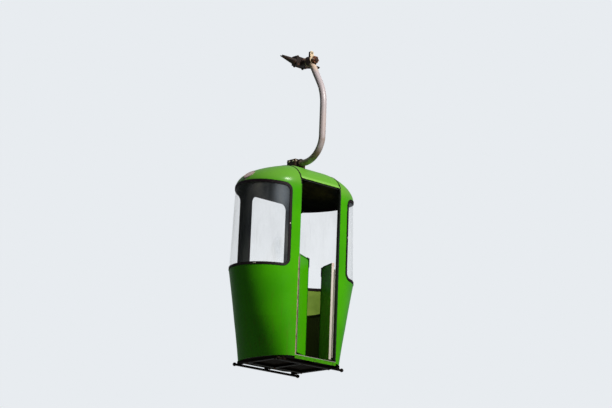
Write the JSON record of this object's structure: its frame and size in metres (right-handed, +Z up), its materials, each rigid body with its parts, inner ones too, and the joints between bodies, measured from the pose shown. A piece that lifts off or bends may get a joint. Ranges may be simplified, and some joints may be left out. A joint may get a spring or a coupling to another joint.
{
  "type": "cable car cabin",
  "caption": "Small cable car cabin with rounded glazed ends, an open doorway with inward half doors, facing seats, a bent tube hanger and a rope grip.",
  "frame": {"origin": "on the rope's axis in the middle of the grip", "axes": "+X along the rope, +Z up, -Y towards the doorway side"},
  "size_m": [1.3172, 0.7171, 2.961],
  "materials": {
    "green_laminate": "gel coat, weathered",
    "pane": "clear acrylic, dusty",
    "rubber": "matt, weathered",
    "disc_paint": "blank, faded",
    "seat_laminate": "satin dark",
    "floor_board": "sealed board",
    "edge_aluminium": "satin, worn",
    "door_laminate": "gel coat, weathered",
    "arm_paint": "cream paint, stained",
    "frame_paint": "dark paint",
    "underframe_steel": "dark, rusting",
    "rail_steel": "dark, worn",
    "nut_steel": "rusted",
    "grip_steel": "dark, rusting"
  },
  "bodies": {
    "grip": {"grip_jaw": "grip_steel", "grip_keeper": "grip_steel", "stem_nut": "nut_steel"},
    "cabin": {"hanger_eye": "arm_paint", "hanger_arm": "arm_paint", "arm_collar": "grip_steel", "saddle_block": "grip_steel", "shell_front": "green_laminate", "shell_rear": "green_laminate", "window_front": "pane", "window_rear": "pane", "gasket_front": "rubber", "gasket_rear": "rubber", "roof_panel": "green_laminate", "roof_seals": "rubber", "side_panel": "green_laminate", "side_window": "pane", "side_gasket": "rubber", "number_disc_front": "disc_paint", "number_disc_rear": "disc_paint", "door_post_front": "frame_paint", "door_post_rear": "frame_paint", "door_header": "frame_paint", "sill_strip": "edge_aluminium", "sill_apron": "green_laminate", "floor_pan": "floor_board", "underframe": "underframe_steel", "guide_rail_near": "rail_steel", "guide_rail_far": "rail_steel", "seat_front": "seat_laminate", "seat_rear": "seat_laminate", "seat_skirt_front": "seat_laminate", "seat_skirt_rear": "seat_laminate", "hinge_front": "edge_aluminium", "hinge_rear": "edge_aluminium"},
    "door_left": {"door_left_panel": "door_laminate", "door_left_seal": "rubber", "door_left_channel": "edge_aluminium"},
    "door_right": {"door_right_panel": "door_laminate", "door_right_seal": "rubber", "door_right_channel": "edge_aluminium"}
  },
  "joints": [
    {"name": "hanger_pitch", "type": "hinge", "parent": "grip", "child": "cabin", "pos_m": [0, -0.146, -0.03], "axis": [0, 1, 0], "range_deg": [-25, 25]},
    {"name": "door_left_hinge", "type": "hinge", "parent": "cabin", "child": "door_left", "pos_m": [-0.239, -0.3125, -2.43], "axis": [0, 0, 1], "range_deg": [-25.5, 82]},
    {"name": "door_right_hinge", "type": "hinge", "parent": "cabin", "child": "door_right", "pos_m": [0.239, -0.3125, -2.43], "axis": [0, 0, -1], "range_deg": [-109, 0]}
  ]
}
